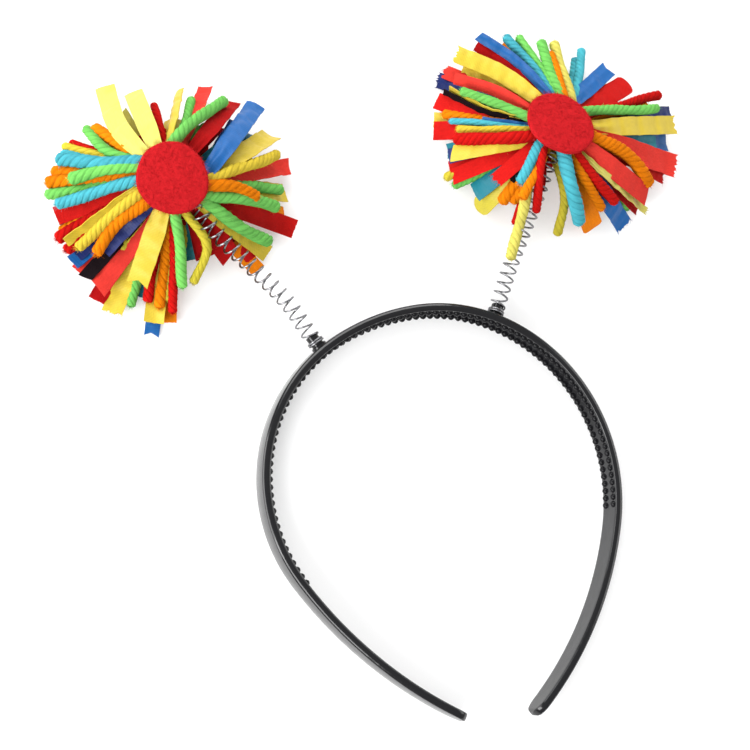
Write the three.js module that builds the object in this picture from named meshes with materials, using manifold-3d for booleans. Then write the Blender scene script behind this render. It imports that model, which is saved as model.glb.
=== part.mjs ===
// Pompom headband, lying on a flat surface: a black toothed band, two coil springs pushed over its
// pegs, and two mop-like pompoms of yarn and ribbon, each under a round felt disc.
// Millimetres, +Z up. The origin is on the surface, in the wall of the band's top, and +Y points
// from the band towards the pompoms.
import * as THREE from 'three';
import { mergeVertices } from 'three/addons/utils/BufferGeometryUtils.js';
import Module from 'manifold-3d';

const wasm = await Module();
wasm.setup();

// Band: a strip on edge, bent along arcs from its middle to each tip, with its outer and inner faces
// at distances from that line.
const BAND_WIDE = 10.8;
const OUTER = 1.1;
const INNER = 1.6;
const EDGE_BEVEL = 0.5;
const TIP_CORNER = 4.2;
const FACET = 9.5;
const TIP_FACETS = 4;
const LIMBS = {
  left: [
    { radius: 74, length: 32 },
    { radius: 56.3, length: 89.3 },
    { radius: 153, length: 72 },
  ],
  right: [
    { radius: 58.8, length: 32 },
    { radius: 64, length: 89.3 },
    { radius: 121, length: 72 },
  ],
};

// Comb teeth: two rows on the inner face, which end before the plain tips.
const TEETH = { left: 123, right: 115, pitch: 2.6, base: 1.15, tall: 1, sides: 5, inset: 2.4, root: 0.2 };

// Pegs on the outer face, one for each spring, each on a wider foot.
const PEG = { left: 34.2, right: 30.6, radius: 1.62, tall: 4.6, sides: 10, root: 0.4 };
const PEG_FOOT = { radius: 2.6, tall: 0.7 };

// Springs: open coils that start on a peg's foot and end at the pompom's head.
const GAP = 0.35;
const WIRE = 0.27;
const COIL = { radius: 2.25, turns: 19, pegTurns: 2.5, stepsPerTurn: 8, wireSides: 5 };
const COIL_SEAT = PEG_FOOT.tall + GAP + WIRE;
const SPRING_ROUTES = {
  left: [
    { x: -42, y: 9, z: 7.5 },
    { x: -53, y: 23, z: 12.5 },
    { x: -64, y: 36, z: 17 },
  ],
  right: [
    { x: 39, y: 10, z: 8 },
    { x: 45.5, y: 21.5, z: 12.5 },
    { x: 51.5, y: 32.5, z: 17 },
  ],
};

// The eye that the strips are placed for: above the band and to its left, its own up leaning left.
const VIEW = { yaw: 20.7, tilt: -1.1, roll: -12.4, away: 479 };
const VIEW_TARGET = new THREE.Vector3(0, -65, 0);

// Pompoms: a head under the felt disc, with strips that run out of it and fall to the surface.
const FELT = { thick: 1.6, round: 0.4, sides: 20 };
const HEAD = { radius: 7.5, tall: 10, sides: 10 };
const HEART = { radius: 16, top: 6, tall: 15, sides: 12 };
const YARN = { radius: 1.9, sides: 5, steps: 3 };
const RIBBON = { wide: 6.4, thick: 1.2, steps: 3 };
const START_OUT = 5;
const LAYERS = {
  top: { under: 3.4, tip: 8 },
  middle: { under: 6, tip: 4.5 },
  low: { under: 8.6, tip: 1.4 },
};

// One row for each strip, as the eye sees it round the disc's centre: its kind, the bearing at
// which it leaves the head, the bearing of its tip, both clockwise from the eye's up in degrees,
// the tip's distance in millimetres, and its layer.
const LEFT_STRIPS = [
  ['ribbon', -50, -35, 35, 'top'],
  ['ribbon', -26, -24, 29, 'middle'],
  ['yarn', -13, -15, 23, 'low'],
  ['ribbon', -2, 4, 26, 'middle'],
  ['ribbon', 16, 20, 30, 'low'],
  ['yarn', 1, 34, 28, 'top'],
  ['ribbon', 32, 39, 29, 'middle'],
  ['ribbon', 74, 49, 34, 'top'],
  ['ribbon', 80, 68, 33, 'middle'],
  ['yarn', 86, 79, 33, 'top'],
  ['ribbon', 90, 83, 36, 'low'],
  ['yarn', 97, 102, 26, 'top'],
  ['yarn', 108, 105, 33, 'middle'],
  ['ribbon', 115, 113, 40, 'low'],
  ['yarn', 124, 125, 36, 'low'],
  ['ribbon', 140, 141, 32, 'low'],
  ['ribbon', 156, 156, 27, 'low'],
  ['yarn', 160, 169, 33, 'middle'],
  ['yarn', 174, 175, 34, 'top'],
  ['yarn', 178, 179, 41, 'middle'],
  ['yarn', 182, 184, 40, 'low'],
  ['ribbon', 186, 188, 47, 'low'],
  ['ribbon', 200, 198, 35, 'top'],
  ['ribbon', 203, 205, 45, 'low'],
  ['ribbon', 211, 215, 41, 'middle'],
  ['ribbon', 220, 222, 40, 'low'],
  ['yarn', 224, 226, 33, 'top'],
  ['ribbon', 230, 231, 40, 'low'],
  ['yarn', 243, 234, 36, 'top'],
  ['ribbon', 242, 240, 40, 'middle'],
  ['ribbon', 250, 252, 38, 'low'],
  ['yarn', 266, 257, 37, 'top'],
  ['yarn', 268, 264, 39, 'low'],
  ['yarn', 291, 270, 32, 'top'],
  ['yarn', 275, 271, 39, 'middle'],
  ['yarn', 298, 280, 36, 'top'],
  ['yarn', 290, 288, 35, 'low'],
  ['yarn', 302, 300, 31, 'middle'],
];

const RIGHT_STRIPS = [
  ['yarn', 15, -4, 28, 'top'],
  ['yarn', -4, -14, 29, 'middle'],
  ['yarn', -14, -26, 33, 'low'],
  ['yarn', -22, -32, 35, 'middle'],
  ['yarn', 27, 16, 26, 'low'],
  ['ribbon', 34, 41, 25, 'top'],
  ['ribbon', 56, 59, 26, 'middle'],
  ['yarn', 70, 74, 35, 'low'],
  ['yarn', 70, 83, 34, 'top'],
  ['ribbon', 98, 91, 39, 'middle'],
  ['ribbon', 100, 101, 37, 'low'],
  ['ribbon', 112, 111, 43, 'low'],
  ['yarn', 114, 124, 37, 'top'],
  ['ribbon', 136, 131, 39, 'middle'],
  ['ribbon', 141, 140, 38, 'low'],
  ['yarn', 155, 146, 33, 'middle'],
  ['ribbon', 150, 149, 41, 'low'],
  ['yarn', 163, 155, 33, 'middle'],
  ['ribbon', 166, 163, 38, 'low'],
  ['yarn', 174, 169, 34, 'low'],
  ['yarn', 184, 181, 38, 'low'],
  ['yarn', 222, 216, 25, 'low'],
  ['ribbon', 218, 216, 35, 'low'],
  ['ribbon', 222, 221, 41, 'low'],
  ['ribbon', 232, 231, 38, 'low'],
  ['ribbon', 233, 243, 42, 'middle'],
  ['yarn', 240, 241, 44, 'low'],
  ['ribbon', 246, 255, 39, 'middle'],
  ['yarn', 254, 266, 43, 'top'],
  ['ribbon', 262, 268, 43, 'low'],
  ['ribbon', 272, 275, 41, 'low'],
  ['ribbon', 280, 283, 42, 'middle'],
  ['yarn', 278, 288, 36, 'top'],
  ['ribbon', 290, 291, 44, 'low'],
  ['ribbon', 295, 294, 40, 'middle'],
  ['ribbon', 311, 304, 43, 'top'],
  ['ribbon', 320, 312, 39, 'low'],
  ['ribbon', 333, 316, 41, 'middle'],
];

const POMPOMS = {
  left: {
    centre: new THREE.Vector3(-74.6, 49.1, 24),
    lean: 20,
    heading: -142,
    disc: 22,
    strips: LEFT_STRIPS,
  },
  right: {
    centre: new THREE.Vector3(61.5, 52.6, 24),
    lean: 18,
    heading: 8,
    disc: 24.6,
    strips: RIGHT_STRIPS,
  },
};

// How far the joined strips are smoothed, how near two corners are one, and the size of a block that
// is wider than the object.
const SMOOTH = 0.05;
const WELD = 1e-4;
const SURFACE = 600;

const UP = new THREE.Vector3(0, 0, 1);
const SIDES = ['left', 'right'];
const radians = THREE.MathUtils.degToRad;

const plastic = new THREE.MeshStandardMaterial({ color: 0x101012, roughness: 0.35, metalness: 0 });
const steel = new THREE.MeshStandardMaterial({ color: 0xc8cace, roughness: 0.25, metalness: 1 });
const yarns = new THREE.MeshStandardMaterial({ color: 0xf0a020, roughness: 0.9, metalness: 0 });
const felt = new THREE.MeshStandardMaterial({ color: 0xdc2830, roughness: 1, metalness: 0 });

// A closed geometry as a solid that can be joined and cut.
function solid(geometry) {
  const bare = geometry.index ? geometry.toNonIndexed() : geometry;
  bare.deleteAttribute('normal');
  bare.deleteAttribute('uv');
  const merged = mergeVertices(bare, WELD);
  return new wasm.Manifold(new wasm.Mesh({
    numProp: 3,
    vertProperties: merged.attributes.position.array,
    triVerts: Uint32Array.from(merged.index.array),
  }));
}

// A joined solid as a named mesh.
function piece(name, body, material) {
  const { numProp, vertProperties, triVerts } = body.getMesh();
  const geometry = new THREE.BufferGeometry();
  const corners = new THREE.BufferAttribute(new Float32Array(vertProperties), numProp);
  geometry.setAttribute('position', corners);
  geometry.setIndex(new THREE.BufferAttribute(new Uint32Array(triVerts), 1));
  geometry.computeVertexNormals();
  const mesh = new THREE.Mesh(geometry, material);
  mesh.name = name;
  return mesh;
}

function regularPolygon(radius, sides) {
  const shape = new THREE.Shape();
  for (let i = 0; i < sides; i += 1) {
    const angle = (2 * Math.PI * i) / sides;
    const method = i === 0 ? 'moveTo' : 'lineTo';
    shape[method](radius * Math.cos(angle), radius * Math.sin(angle));
  }
  return shape;
}

// The band's line: the place and the outward direction at a distance along one limb.
function bandAt(side, distance) {
  const sign = side === 'left' ? -1 : 1;
  let rest = distance;
  let turn = 0;
  let x = 0;
  let y = 0;
  for (const { radius, length } of LIMBS[side]) {
    const run = Math.min(rest, length);
    const swing = run / radius;
    x += radius * (Math.sin(turn + swing) - Math.sin(turn));
    y += radius * (Math.cos(turn + swing) - Math.cos(turn));
    turn += swing;
    rest -= run;
  }
  return {
    place: new THREE.Vector2(sign * x, y),
    out: new THREE.Vector2(sign * Math.sin(turn), Math.cos(turn)),
    along: new THREE.Vector2(sign * Math.cos(turn), -Math.sin(turn)),
  };
}

function limbLength(side) {
  return LIMBS[side].reduce((sum, arc) => sum + arc.length, 0);
}

function offsetPoint({ place, out }, outward) {
  return place.clone().addScaledVector(out, outward);
}

// Distances of the outline's corners along one limb, from the middle to the start of its tip.
function limbStops(side) {
  const end = limbLength(side) - tipRadius();
  const count = Math.round(end / FACET);
  const stops = [];
  for (let i = 1; i <= count; i += 1) {
    stops.push((end * i) / count);
  }
  return stops;
}

function tipRadius() {
  return (OUTER + INNER) / 2;
}

function bandOutline() {
  const outer = { left: [], right: [] };
  const inner = { left: [], right: [] };
  for (const side of SIDES) {
    const stops = limbStops(side);
    for (const stop of stops) {
      outer[side].push(offsetPoint(bandAt(side, stop), OUTER));
      inner[side].push(offsetPoint(bandAt(side, stop), -INNER));
    }
    const end = bandAt(side, stops.at(-1));
    const hub = offsetPoint(end, OUTER - tipRadius());
    for (let i = 1; i < TIP_FACETS; i += 1) {
      const angle = (Math.PI * i) / TIP_FACETS;
      const point = hub.clone().addScaledVector(end.out, tipRadius() * Math.cos(angle));
      outer[side].push(point.addScaledVector(end.along, tipRadius() * Math.sin(angle)));
    }
  }
  const middle = bandAt('right', 0);
  return new THREE.Shape([
    ...outer.left.toReversed(),
    offsetPoint(middle, OUTER),
    ...outer.right,
    ...inner.right.toReversed(),
    offsetPoint(middle, -INNER),
    ...inner.left,
  ]);
}

// What rounds a tip's corners across the band's width: a block less a round-cornered tongue.
function tipCutter(side) {
  const { place, along } = bandAt(side, limbLength(side));
  const far = BAND_WIDE;
  const block = new THREE.Shape([
    new THREE.Vector2(-TIP_CORNER, -far),
    new THREE.Vector2(far, -far),
    new THREE.Vector2(far, 2 * far),
    new THREE.Vector2(-TIP_CORNER, 2 * far),
  ]);
  const tongue = new THREE.Shape();
  tongue.moveTo(-far, 0);
  tongue.absarc(-TIP_CORNER, TIP_CORNER, TIP_CORNER, -Math.PI / 2, 0, false);
  tongue.absarc(-TIP_CORNER, BAND_WIDE - TIP_CORNER, TIP_CORNER, 0, Math.PI / 2, false);
  tongue.lineTo(-far, BAND_WIDE);
  const settings = { depth: far, bevelEnabled: false, curveSegments: TIP_FACETS };
  const cutters = [block, tongue].map((shape) => {
    const slab = new THREE.ExtrudeGeometry(shape, settings);
    const run = new THREE.Vector3(along.x, along.y, 0);
    slab.translate(0, 0, -far / 2);
    slab.applyMatrix4(new THREE.Matrix4().makeBasis(run, UP, run.clone().cross(UP)));
    slab.translate(place.x, place.y, 0);
    return solid(slab);
  });
  return cutters[0].subtract(cutters[1]);
}

function bandBody() {
  const body = new THREE.ExtrudeGeometry(bandOutline(), {
    depth: BAND_WIDE - 2 * EDGE_BEVEL,
    bevelEnabled: true,
    bevelThickness: EDGE_BEVEL,
    bevelSize: EDGE_BEVEL,
    bevelOffset: -EDGE_BEVEL,
    bevelSegments: 1,
  });
  body.translate(0, 0, EDGE_BEVEL);
  return SIDES.reduce((rest, side) => rest.subtract(tipCutter(side)), solid(body));
}

// A turned form swung from its own +Y to a direction in the plan, its origin at a place.
function standOn(geometry, foot, direction, height) {
  const lie = new THREE.Vector3(direction.x, direction.y, 0);
  geometry.applyQuaternion(new THREE.Quaternion().setFromUnitVectors(new THREE.Vector3(0, 1, 0), lie));
  geometry.translate(foot.x, foot.y, height);
  return solid(geometry);
}

// Pitches from the band's middle to the last tooth before a plain tip.
function lastTooth(side) {
  return Math.round(TEETH[side] / TEETH.pitch) - 1;
}

function teeth() {
  const tall = TEETH.tall + TEETH.root;
  const solids = [];
  for (let i = -lastTooth('left'); i <= lastTooth('right'); i += 1) {
    const spot = bandAt(i < 0 ? 'left' : 'right', Math.abs(i * TEETH.pitch));
    const foot = offsetPoint(spot, TEETH.root - INNER);
    for (const height of [TEETH.inset, BAND_WIDE - TEETH.inset]) {
      const cone = new THREE.ConeGeometry(TEETH.base, tall, TEETH.sides);
      cone.translate(0, tall / 2, 0);
      solids.push(standOn(cone, foot, spot.out.clone().negate(), height));
    }
  }
  return solids;
}

function peg(side) {
  const spot = bandAt(side, PEG[side]);
  const profile = [
    new THREE.Vector2(0, -PEG.root),
    new THREE.Vector2(PEG_FOOT.radius, -PEG.root),
    new THREE.Vector2(PEG_FOOT.radius, PEG_FOOT.tall),
    new THREE.Vector2(PEG.radius, PEG_FOOT.tall),
    new THREE.Vector2(PEG.radius, PEG.tall),
    new THREE.Vector2(0, PEG.tall),
  ];
  const post = new THREE.LatheGeometry(profile, PEG.sides);
  return standOn(post, offsetPoint(spot, OUTER), spot.out, BAND_WIDE / 2);
}

function band() {
  const solids = [bandBody(), ...teeth(), ...SIDES.map(peg)];
  return piece('band', wasm.Manifold.union(solids), plastic);
}

// The disc's outward direction, leaning from +Z towards a heading clockwise from +Y.
function facing({ lean, heading }) {
  const flat = Math.sin(radians(lean));
  const x = flat * Math.sin(radians(heading));
  const y = flat * Math.cos(radians(heading));
  return new THREE.Vector3(x, y, Math.cos(radians(lean)));
}

// The eye's place and its own right and up.
function eyeFrame() {
  const yaw = radians(VIEW.yaw);
  const tilt = radians(VIEW.tilt);
  const roll = radians(VIEW.roll);
  const back = new THREE.Vector3(
    -Math.sin(yaw) * Math.cos(tilt),
    Math.sin(tilt),
    Math.cos(yaw) * Math.cos(tilt),
  );
  const level = new THREE.Vector3(0, 1, 0).cross(back).normalize();
  const upright = back.clone().cross(level);
  const right = level.clone().multiplyScalar(Math.cos(roll)).addScaledVector(upright, Math.sin(roll));
  const up = upright.clone().multiplyScalar(Math.cos(roll)).addScaledVector(level, -Math.sin(roll));
  return { place: VIEW_TARGET.clone().addScaledVector(back, VIEW.away), right, up };
}

const eye = eyeFrame();

// The point of a plane that the eye sees at a bearing and distance from the disc's centre.
function seenOn(plane, pompom, bearing, distance) {
  const angle = radians(bearing);
  const spot = pompom.centre.clone()
    .addScaledVector(eye.right, distance * Math.sin(angle))
    .addScaledVector(eye.up, distance * Math.cos(angle));
  const ray = new THREE.Ray(eye.place, spot.sub(eye.place).normalize());
  return ray.intersectPlane(plane, new THREE.Vector3());
}

// A strip's middle line: out of the head along the disc, then down to its tip.
function stripPath(pompom, [kind, leaves, bearing, reach, layer]) {
  const { under, tip } = LAYERS[layer];
  const out = facing(pompom);
  const hub = pompom.centre.clone().addScaledVector(out, -under);
  const discPlane = new THREE.Plane().setFromNormalAndCoplanarPoint(out, hub);
  const half = seenOn(discPlane, pompom, kind === 'yarn' ? leaves : bearing, reach / 2);
  const way = half.clone().sub(hub).normalize();
  const start = hub.clone().addScaledVector(way, START_OUT);
  const end = seenOn(new THREE.Plane(UP, -tip), pompom, bearing, reach);
  return new THREE.QuadraticBezierCurve3(start, half, end);
}

function yarnSolid(path) {
  return solid(new THREE.ExtrudeGeometry(regularPolygon(YARN.radius, YARN.sides), {
    steps: YARN.steps,
    extrudePath: path,
    bevelEnabled: false,
  }));
}

// A ribbon is its own side view, a thin arched strip, spread across the ribbon's width.
function ribbonSolid(path) {
  const start = path.getPoint(0);
  const run = path.getPoint(1).sub(start).setZ(0).normalize();
  const above = [];
  const below = [];
  for (let i = 0; i <= RIBBON.steps; i += 1) {
    const point = path.getPoint(i / RIBBON.steps);
    const distance = point.clone().sub(start).dot(run);
    above.push(new THREE.Vector2(distance, point.z + RIBBON.thick / 2));
    below.push(new THREE.Vector2(distance, point.z - RIBBON.thick / 2));
  }
  const outline = new THREE.Shape([...below, ...above.toReversed()]);
  const strip = new THREE.ExtrudeGeometry(outline, { depth: RIBBON.wide, bevelEnabled: false });
  strip.translate(0, 0, -RIBBON.wide / 2);
  strip.applyMatrix4(new THREE.Matrix4().makeBasis(run, UP, run.clone().cross(UP)));
  strip.translate(start.x, start.y, 0);
  return solid(strip);
}

function turnTo(geometry, direction, place) {
  const turn = new THREE.Quaternion().setFromUnitVectors(new THREE.Vector3(0, 1, 0), direction);
  geometry.applyQuaternion(turn);
  geometry.translate(place.x, place.y, place.z);
  return geometry;
}

// The glued middle: a short post under the disc, on a heart of crossed strips that reaches the surface.
function head(pompom) {
  const out = facing(pompom);
  const depth = FELT.thick / 2 + GAP + HEAD.tall / 2;
  const post = new THREE.CylinderGeometry(HEAD.radius, HEAD.radius, HEAD.tall, HEAD.sides);
  const heart = new THREE.CylinderGeometry(HEART.top, HEART.radius, HEART.tall, HEART.sides);
  const foot = pompom.centre.clone().setZ(HEART.tall / 2);
  return solid(turnTo(post, out, pompom.centre.clone().addScaledVector(out, -depth)))
    .add(solid(turnTo(heart, UP, foot)));
}

// Strips pressed flat where they lie on the surface.
function surfaceBlock() {
  const block = new THREE.BoxGeometry(SURFACE, SURFACE, SURFACE);
  block.translate(0, 0, -SURFACE / 2);
  return solid(block);
}

// The outer skin alone, so that pockets closed in between crossing strips are filled.
function outerSkin(body) {
  const skins = body.decompose();
  return skins.reduce((best, skin) => (skin.volume() > best.volume() ? skin : best));
}

function pompom(side) {
  const spec = POMPOMS[side];
  const solids = [head(spec)];
  for (const row of spec.strips) {
    const path = stripPath(spec, row);
    solids.push(row[0] === 'yarn' ? yarnSolid(path) : ribbonSolid(path));
  }
  const joined = wasm.Manifold.union(solids).subtract(surfaceBlock());
  const body = outerSkin(joined.simplify(SMOOTH));
  return piece(`pompom_${side}`, body, yarns);
}

function feltDisc(side) {
  const spec = POMPOMS[side];
  const radius = spec.disc / 2;
  const half = FELT.thick / 2;
  const profile = [
    new THREE.Vector2(0, -half),
    new THREE.Vector2(radius - FELT.round, -half),
    new THREE.Vector2(radius, FELT.round - half),
    new THREE.Vector2(radius, half - FELT.round),
    new THREE.Vector2(radius - FELT.round, half),
    new THREE.Vector2(0, half),
  ];
  const disc = turnTo(new THREE.LatheGeometry(profile, FELT.sides), facing(spec), spec.centre);
  return piece(`felt_disc_${side}`, solid(disc), felt);
}

// A coil about a route, close-wound on the peg and open from there on.
class Coil extends THREE.Curve {
  constructor(route, pegShare) {
    super();
    this.route = route;
    this.pegShare = pegShare;
  }

  getPoint(t, target = new THREE.Vector3()) {
    const turns = t * COIL.turns;
    const onPeg = Math.min(turns, COIL.pegTurns) / COIL.pegTurns;
    const beyond = Math.max(turns - COIL.pegTurns, 0) / (COIL.turns - COIL.pegTurns);
    const share = this.pegShare * onPeg + (1 - this.pegShare) * beyond;
    const along = this.route.getTangentAt(share);
    const side = along.clone().cross(UP).normalize();
    const top = side.clone().cross(along);
    const angle = 2 * Math.PI * turns;
    return target.copy(this.route.getPointAt(share))
      .addScaledVector(side, COIL.radius * Math.cos(angle))
      .addScaledVector(top, COIL.radius * Math.sin(angle));
  }
}

function springRoute(side) {
  const spot = bandAt(side, PEG[side]);
  const height = BAND_WIDE / 2;
  const onPeg = (outward) => {
    const { x, y } = offsetPoint(spot, OUTER + outward);
    return new THREE.Vector3(x, y, height);
  };
  const middle = SPRING_ROUTES[side].map(({ x, y, z }) => new THREE.Vector3(x, y, z));
  const spec = POMPOMS[side];
  const out = facing(spec);
  const under = FELT.thick / 2 + GAP + COIL.radius + WIRE + GAP;
  const hub = spec.centre.clone().addScaledVector(out, -under);
  const way = middle.at(-1).clone().sub(hub).projectOnPlane(out).normalize();
  const end = hub.addScaledVector(way, HEAD.radius + GAP + WIRE + GAP);
  return new THREE.CatmullRomCurve3([onPeg(COIL_SEAT), onPeg(PEG.tall), ...middle, end]);
}

function spring(side) {
  const route = springRoute(side);
  const coil = new Coil(route, (PEG.tall - COIL_SEAT) / route.getLength());
  const wire = new THREE.ExtrudeGeometry(regularPolygon(WIRE, COIL.wireSides), {
    steps: Math.round(COIL.turns * COIL.stepsPerTurn),
    extrudePath: coil,
    bevelEnabled: false,
  });
  return piece(`spring_${side}`, solid(wire), steel);
}

const headband = new THREE.Group();
headband.add(band());
for (const side of SIDES) {
  headband.add(spring(side), pompom(side), feltDisc(side));
}

export default headband;
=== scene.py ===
"""Looks of the pompom headband: glossy black band, bright springs, felt discs, and pompoms of
plied yarn and narrow ribbon, each strand laid by itself. Sizes are in millimetres, and the pieces
are turned into metres as they are made."""
import functools
import itertools
import math
from typing import NamedTuple

import bpy
import numpy as np
from mathutils import Matrix, Vector


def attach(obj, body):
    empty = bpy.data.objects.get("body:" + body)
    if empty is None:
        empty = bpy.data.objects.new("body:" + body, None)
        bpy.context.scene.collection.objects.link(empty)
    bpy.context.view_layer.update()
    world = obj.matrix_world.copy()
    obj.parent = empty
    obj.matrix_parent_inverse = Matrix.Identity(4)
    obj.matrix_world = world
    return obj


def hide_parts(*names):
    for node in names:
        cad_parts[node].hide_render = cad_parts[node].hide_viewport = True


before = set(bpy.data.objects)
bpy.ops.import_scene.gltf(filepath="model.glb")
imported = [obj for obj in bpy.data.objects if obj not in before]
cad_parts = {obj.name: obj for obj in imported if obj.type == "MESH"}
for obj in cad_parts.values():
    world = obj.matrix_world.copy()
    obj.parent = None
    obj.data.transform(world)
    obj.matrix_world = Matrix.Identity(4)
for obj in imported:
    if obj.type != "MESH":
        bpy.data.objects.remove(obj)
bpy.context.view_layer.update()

MM = 0.001
UP = np.array((0.0, 0.0, 1.0))
ROUND = 2 * math.pi
SIDES = ("left", "right")
SEEDS = {"left": 11, "right": 23}
CREASE = 40
CURVE_STEPS = 60
ROUTE_POINTS = 240
LOWEST = 0.05

# The eye: above the band and to its left, its own up leaning left.
EYE_YAW = 20.7
EYE_TILT = -1.1
EYE_ROLL = -12.4
EYE_AWAY = 479.0
EYE_TARGET = np.array((0.0, -65.0, 0.0))
LENS = 67.23
LENS_SHIFT = (-0.0951, 0.166)
NEAREST = 10.0

# Band: a strip on edge, bent along arcs from its middle to each tip, with its outer and inner faces
# at distances from that line. Its inner face is matt along the teeth and glossy at the tips.
BAND_WIDE = 10.8
OUTER = 1.3
INNER = 1.7
TIP_CORNER = 5.4
LIMBS = {
    "left": ((74, 32), (56.3, 89.3), (153, 73)),
    "right": ((58.8, 32), (64, 89.3), (121, 73.6)),
}
BAND_STEP = 1.3
EDGE_ARCS = ((0.45, 40), (1.9, 60), (None, 115), (0.7, 180))
EDGE_POINTS = 6
FACE_POINTS = 9
CROWN = 0.2
TIP_POINTS = 14
TIP_TURN = 1.56
TEETH_END = {"left": 124.6, "right": 116.6}
TOOTH_PITCH = 2.65
TOOTH_BASE = 1.22
TOOTH_TALL = 1.1
TOOTH_BLUNT = 1.6
TOOTH_POINT = 0.2
TOOTH_ROOT = 0.3
TOOTH_INSET = 2.5
TOOTH_SIDES = 12
TOOTH_RINGS = 7
TOOTH_MATT = 0.7
MATT_RUN = 65.0
PEG_AT = {"left": 35.0, "right": 30.6}
PEG_RADIUS = 2.1
PEG_TALL = 4.6
PEG_FOOT_RADIUS = 2.75
PEG_FOOT_TALL = 0.7
PEG_ROUND = 0.3
PEG_SIDES = 32

# Springs: open coils from the pegs to the pompoms.
GAP = 0.35
WIRE = 0.34
COIL_RADIUS = 2.6
COIL_TURNS = 19
CLOSE_TURNS = 1.6
CLOSE_RUN = 1.1
TURN_STEPS = 30
WIRE_SIDES = 10
COIL_SEAT = PEG_FOOT_TALL + GAP + WIRE
SPRING_ROUTES = {
    "left": ((-42.3, 8.7, 7.5), (-53.8, 22.3, 12.5), (-65, 35.1, 17)),
    "right": ((39, 10, 8), (45.5, 21.5, 12.5), (51.5, 32.5, 17)),
}

# Pompoms: strands come out under the disc, layer below layer, and fall towards the surface. Each is
# cut from its own place on a long spool.
FELT = 1.6
HEAD_RADIUS = 7.5
RIM = 11.0
UNDER_RUN = 7.0
INWARD = 0.4
UNDER_DISC = 3.1
LAYER_UNDER = 2.5
TIP_HEIGHT = 8.0
LAYER_TIP = 3.4
FALL_START = 9.0
FALL_POWER = 1.7
FALL_SPAN = 22.0
FALL_RANK = 80
LINE_POINTS = 12
HIDDEN_UNDER = 1.1
HIDDEN_SWING = 4
HIDDEN_REACH = (0.66, 0.8)
HIDDEN_LEVELS = (2.6, 3.2)
HIDDEN_WIDE = 0.9
CORE_SPACING = 20
CORE_SWING = 8
CORE_REACH = (14.5, 16.5)
CORE_LEVELS = (3.2, 4.6)
HEAD_SPACING = 30
HEAD_LEVELS = (-0.25, 0.3)
HEAD_RUN = 2.0
STRAND_SPREAD = 0.05
SPOOL = 500

# Loose fibres: bent at a knee, and thinner beyond it.
KNEE = 0.55
KNEE_BEND = 0.12
KNEE_THIN = 0.7
HAIR_BEND = 0.6

# Yarn: soft plies twisted to the left, with loose fibres.
YARN_RADIUS = 1.95
PLIES = 4
PLY_LEAD = -9.6
LEAD_RANGE = (0.92, 1.1)
TWIST_SWAY = 0.5
TWIST_WAVE = 4
PLY_GROOVE = 0.13
PLY_EDGE = 2.2
# Painted shade: the grooves between the plies are coloured darker by this share.
GROOVE_PAINTED_SHADE = 0.2
PLY_SPREAD = 0.05
YARN_STEP = 0.55
YARN_AROUND = 32
WANDER = 0.35
WANDER_WAVE = 5
SWELL = 0.045
SWELL_WAVE = 2.3
SWELL_SPREAD = 0.01
END_ROUND = 0.4
END_WIDE = 0.72
FUZZ_PER_MM = 5.0
FUZZ_LONG = (0.35, 1.1)
FUZZ_RADIUS = 0.035
FUZZ_STAND = 0.5
FUZZ_LEAN = 0.9
FUZZ_SIDEWAYS = 0.8
# Painted light: loose fibres are coloured lighter than their yarn by this share.
FUZZ_PAINTED_LIGHT = 0.25
END_HAIRS = 60
END_LONG = 1.2
END_LEAN = 1.6
END_INSET = 0.9

# Ribbon: quarter inch wide, softly creased, with loose threads where it frays.
RIBBON_WIDE = 6.4
RIBBON_THICK = 0.35
RIBBON_CLEAR = 0.5
RIBBON_STEP = 0.85
RIBBON_ACROSS = 13
ROLL_SWAY = 8
ROLL_FIRST = 0.6
GATHER = 0.62
GATHER_RUN = 0.5
PLEAT = 1.4
PLEAT_WAVES = 5
CUP = 0.5
FOLD = 0.24
FOLD_ASIDE = 0.6
CREASE_WAVES = (9.0, 5.0, 3.2)
CREASE_SIZE = 0.022
CREASE_RANGE = (0.5, 1.3)
CREASE_SLANT = 0.7
SOFT_CREASE = 0.6
SLANT_CUT = 0.17
NOTCH_SLOPE = 0.25
NOTCH_DEEP = 0.2
NOTCH_ASIDE = 0.2
ROUND_CUT = 0.34
ROUND_BLUNT = 0.98
RAGGED = {"frayed": 0.6, "straight": 0.1}
FRAY_THREADS = 30
FRAY_LONG = (0.4, 1.9)
FRAY_RADIUS = 0.06
FRAY_SPREAD = 0.25
FRAY_INSET = 0.3

# Felt: a soft mat of fibres.
FELT_AROUND = 96
FELT_RINGS = 22
FELT_UNDER_RINGS = 5
FELT_EDGE_RINGS = 7
FELT_EDGE_TURN = 60
FELT_LAST_RING = FELT_RINGS + FELT_EDGE_RINGS // 2
FELT_FLAT = (0.03, 0.95)
FELT_ROUND = 0.05
FELT_DOME = 0.5
FELT_BUMP = 0.045
FELT_WAVES = ((2, 0.2), (3, 0.18), (5, 0.12), (7, 0.08), (11, 0.05))
FELT_WAVE_RANGE = (0.5, 1)
FELT_FIBRES = 2600
FELT_FIBRE_LONG = (0.5, 1.4)
FELT_FIBRE_RADIUS = 0.035
FELT_FIBRE_RISE = (0.02, 0.3)
FELT_FIBRE_TONE = (0.02, 0.08)


class Pompom(NamedTuple):
    """Disc centre, disc lean in degrees from +Z towards a heading clockwise from +Y, disc width."""
    centre: tuple
    lean: float
    heading: float
    disc: float


POMPOMS = {
    "left": Pompom((-74.6, 49.1, 24), 20, -142, 22),
    "right": Pompom((61.5, 52.6, 24), 18, 8, 24.6),
}


class Strand(NamedTuple):
    """One strip as the eye sees it: the bearings at which it leaves the disc and ends, clockwise from
    the eye's up, the tip's distance, how deep it lies from 0 on top to 2 or more on the surface, how
    far its middle bows clockwise, its width, its roll about its own line, how its end is cut, how far
    its tip is held up, and whether loose fibres stand on it."""
    kind: str
    colour: str
    leaves: float
    tip: float
    reach: float
    level: float
    bow: float = 0
    wide: float = 1
    roll: float = 0
    cut: str = "straight"
    lift: float = 0
    fuzzy: bool = True


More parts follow.
